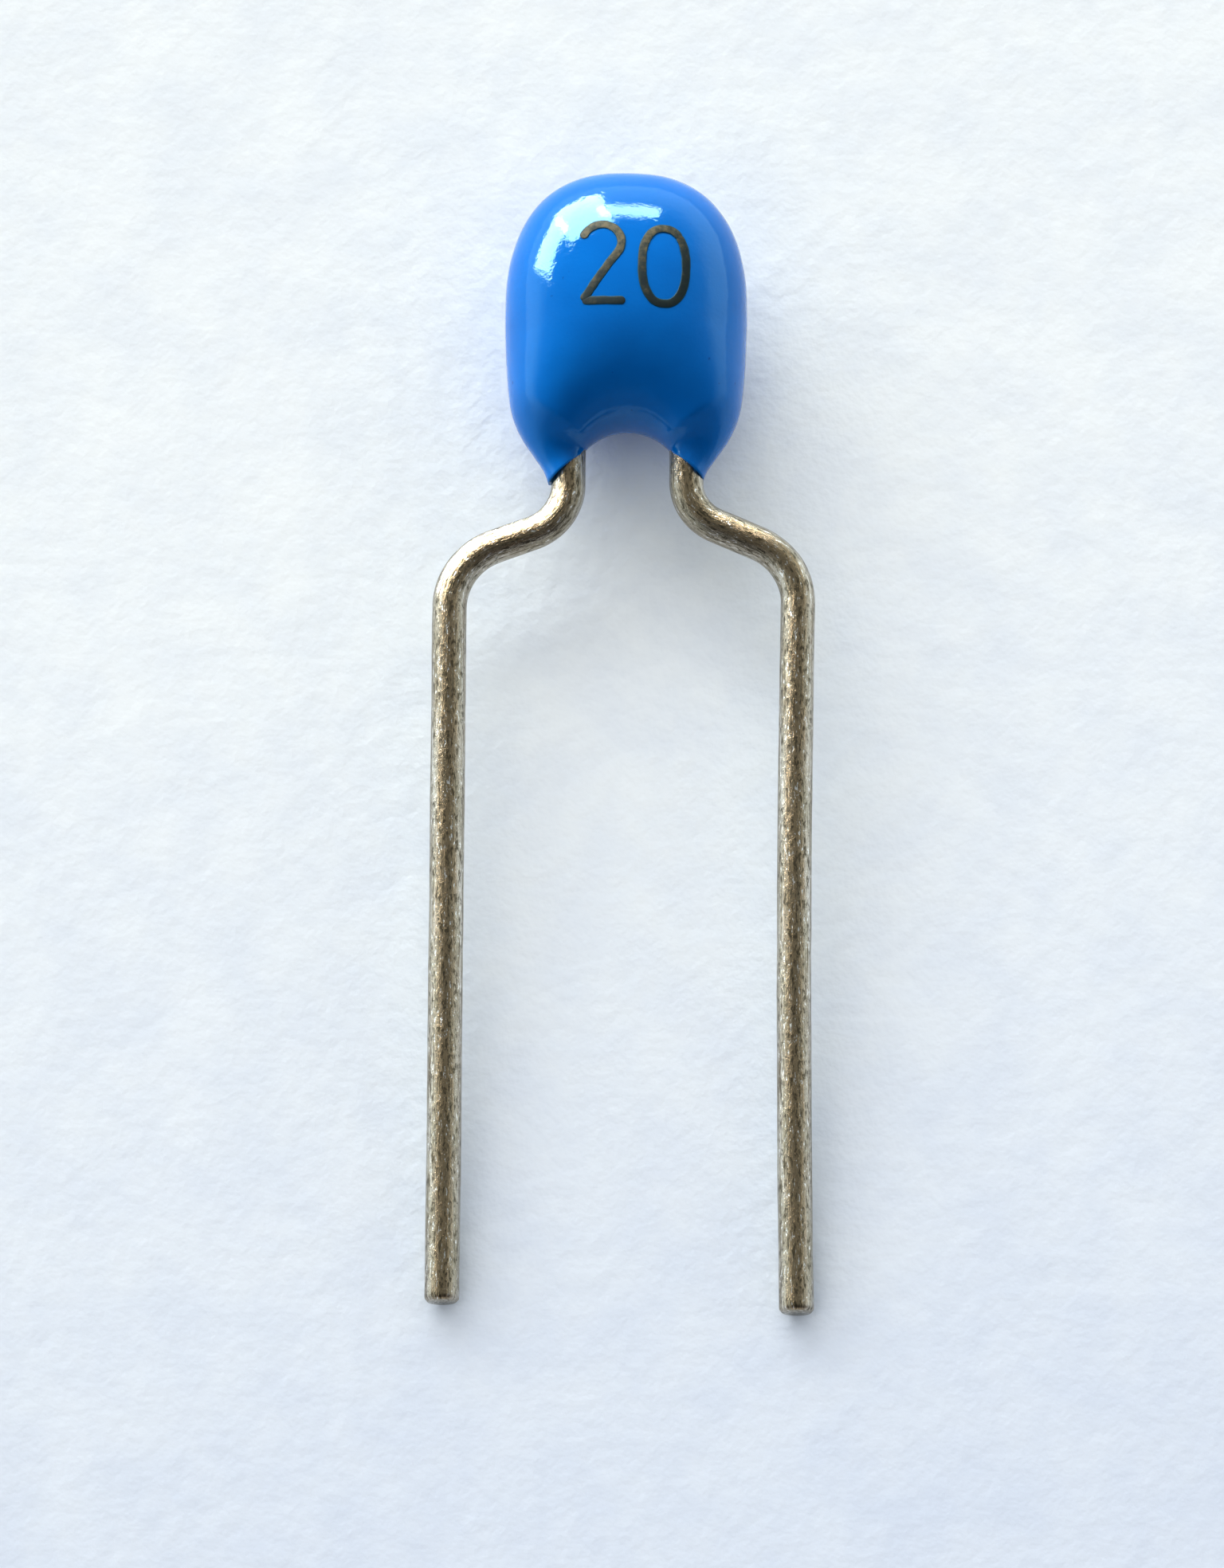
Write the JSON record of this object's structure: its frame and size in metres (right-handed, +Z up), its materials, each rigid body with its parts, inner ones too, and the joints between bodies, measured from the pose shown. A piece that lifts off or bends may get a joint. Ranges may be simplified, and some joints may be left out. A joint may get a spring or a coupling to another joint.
{
  "type": "ceramic disc capacitor",
  "caption": "Small blue epoxy-dipped ceramic disc capacitor with a round top, an arch between its two tinned wire leads and outward kinks above their straight ends.",
  "frame": {"origin": "on the table, under the middle of the whole part's box as it lies on its back", "axes": "+X across the leads to the right seen from the marked face, +Y from the lead tips to the round top, +Z up out of the marked face"},
  "size_m": [0.0056, 0.017, 0.0024],
  "materials": {
    "blue_epoxy": "glossy dipped epoxy, mid blue",
    "fired_ceramic": "matt fired dielectric, pale tan",
    "fired_silver": "thin fired silver film",
    "solder": "bright tin solder",
    "tinned_wire": "tinned steel wire, drawn lines and a grey-brown tarnish"
  },
  "bodies": {
    "root": {"epoxy_coating": "blue_epoxy", "ceramic_disc": "fired_ceramic", "front_electrode": "fired_silver", "back_electrode": "fired_silver", "front_solder_joint": "solder", "back_solder_joint": "solder", "left_lead": "tinned_wire", "right_lead": "tinned_wire"}
  },
  "joints": []
}
